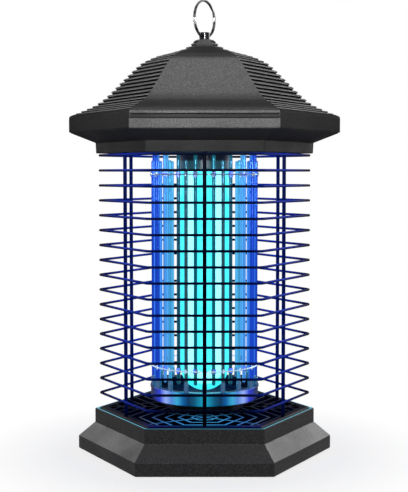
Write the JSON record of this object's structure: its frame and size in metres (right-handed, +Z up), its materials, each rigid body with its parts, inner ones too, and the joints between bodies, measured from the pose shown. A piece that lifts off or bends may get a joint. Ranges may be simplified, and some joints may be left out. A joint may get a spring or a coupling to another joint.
{
  "type": "electric bug zapper",
  "caption": "Hexagonal lantern bug zapper: ogee roof with hanging ring, wire cage, high-voltage wire grid round an ultraviolet lamp, and a base tray that lifts off.",
  "frame": {"origin": "centre of the footprint, on the surface the feet stand on", "axes": "+Z up; a flat side of the hexagon faces -Y (front) and two corners lie on the X axis"},
  "size_m": [0.251, 0.2174, 0.4185],
  "materials": {
    "housing_black": "fine matt grain",
    "base_black": "fine grain",
    "plate_black": "glossy",
    "cage_wire": "satin black enamel",
    "grid_wire": "plated steel wire",
    "holder_metal": "bright turned",
    "insulator_black": "matt",
    "ferrule_metal": "satin",
    "lamp_glass": "phosphor coated",
    "bead_white": "glazed",
    "steel": "zinc plated",
    "brass": "plain",
    "chrome": "polished",
    "post_black": "satin",
    "rubber": "matt",
    "board_green": "satin",
    "part_grey": "matt",
    "lead_red": "satin"
  },
  "bodies": {
    "base": {"base_tray": "base_black", "rubber_feet": "rubber"},
    "lantern": {"grille_plate": "plate_black", "grille_bars": "plate_black", "holder_pedestal": "insulator_black", "lower_grid_holder": "holder_metal", "holder_screws": "steel", "rod_nuts_lower": "steel", "rod_nuts_upper": "steel", "ferrules": "ferrule_metal", "outer_wires": "grid_wire", "inner_wires": "grid_wire", "grid_hoops": "grid_wire", "grid_beads": "bead_white", "upper_grid_holder": "insulator_black", "bus_ring": "brass", "lamp_tube": "lamp_glass", "lamp_cap": "insulator_black", "lamp_pins": "brass", "lamp_socket": "insulator_black", "neck_housing": "housing_black", "cord_gland": "insulator_black", "head_screws": "steel", "roof_shell": "housing_black", "hanger_post": "post_black", "hanger_washer": "steel", "hanger_nut": "steel", "board_posts": "insulator_black", "circuit_board": "board_green", "transformer": "part_grey", "multiplier_block": "part_grey", "capacitors": "part_grey", "lamp_leads": "lead_red", "inner_set_lead": "lead_red", "outer_set_lead": "lead_red", "cage_rod_1": "cage_wire", "cage_rod_2": "cage_wire", "cage_rod_3": "cage_wire", "cage_rod_4": "cage_wire", "cage_rod_5": "cage_wire", "cage_rod_6": "cage_wire", "cage_ring_01": "cage_wire", "cage_ring_02": "cage_wire", "cage_ring_03": "cage_wire", "cage_ring_04": "cage_wire", "cage_ring_05": "cage_wire", "cage_ring_06": "cage_wire", "cage_ring_07": "cage_wire", "cage_ring_08": "cage_wire", "cage_ring_09": "cage_wire", "cage_ring_10": "cage_wire", "cage_ring_11": "cage_wire", "cage_ring_12": "cage_wire", "cage_ring_13": "cage_wire", "cage_ring_14": "cage_wire", "cage_ring_15": "cage_wire", "cage_ring_16": "cage_wire", "cage_ring_17": "cage_wire"},
    "ring": {"hanging_ring": "chrome"}
  },
  "joints": [
    {"name": "lantern_lift", "type": "slide", "parent": "base", "child": "lantern", "axis": [0, 0, 1], "range_m": [0, 0.06]},
    {"name": "ring_swing", "type": "hinge", "parent": "lantern", "child": "ring", "pos_m": [0, 0, 0.3842], "axis": [0.5446, 0.8387, 0], "range_deg": [-90, 90]}
  ]
}
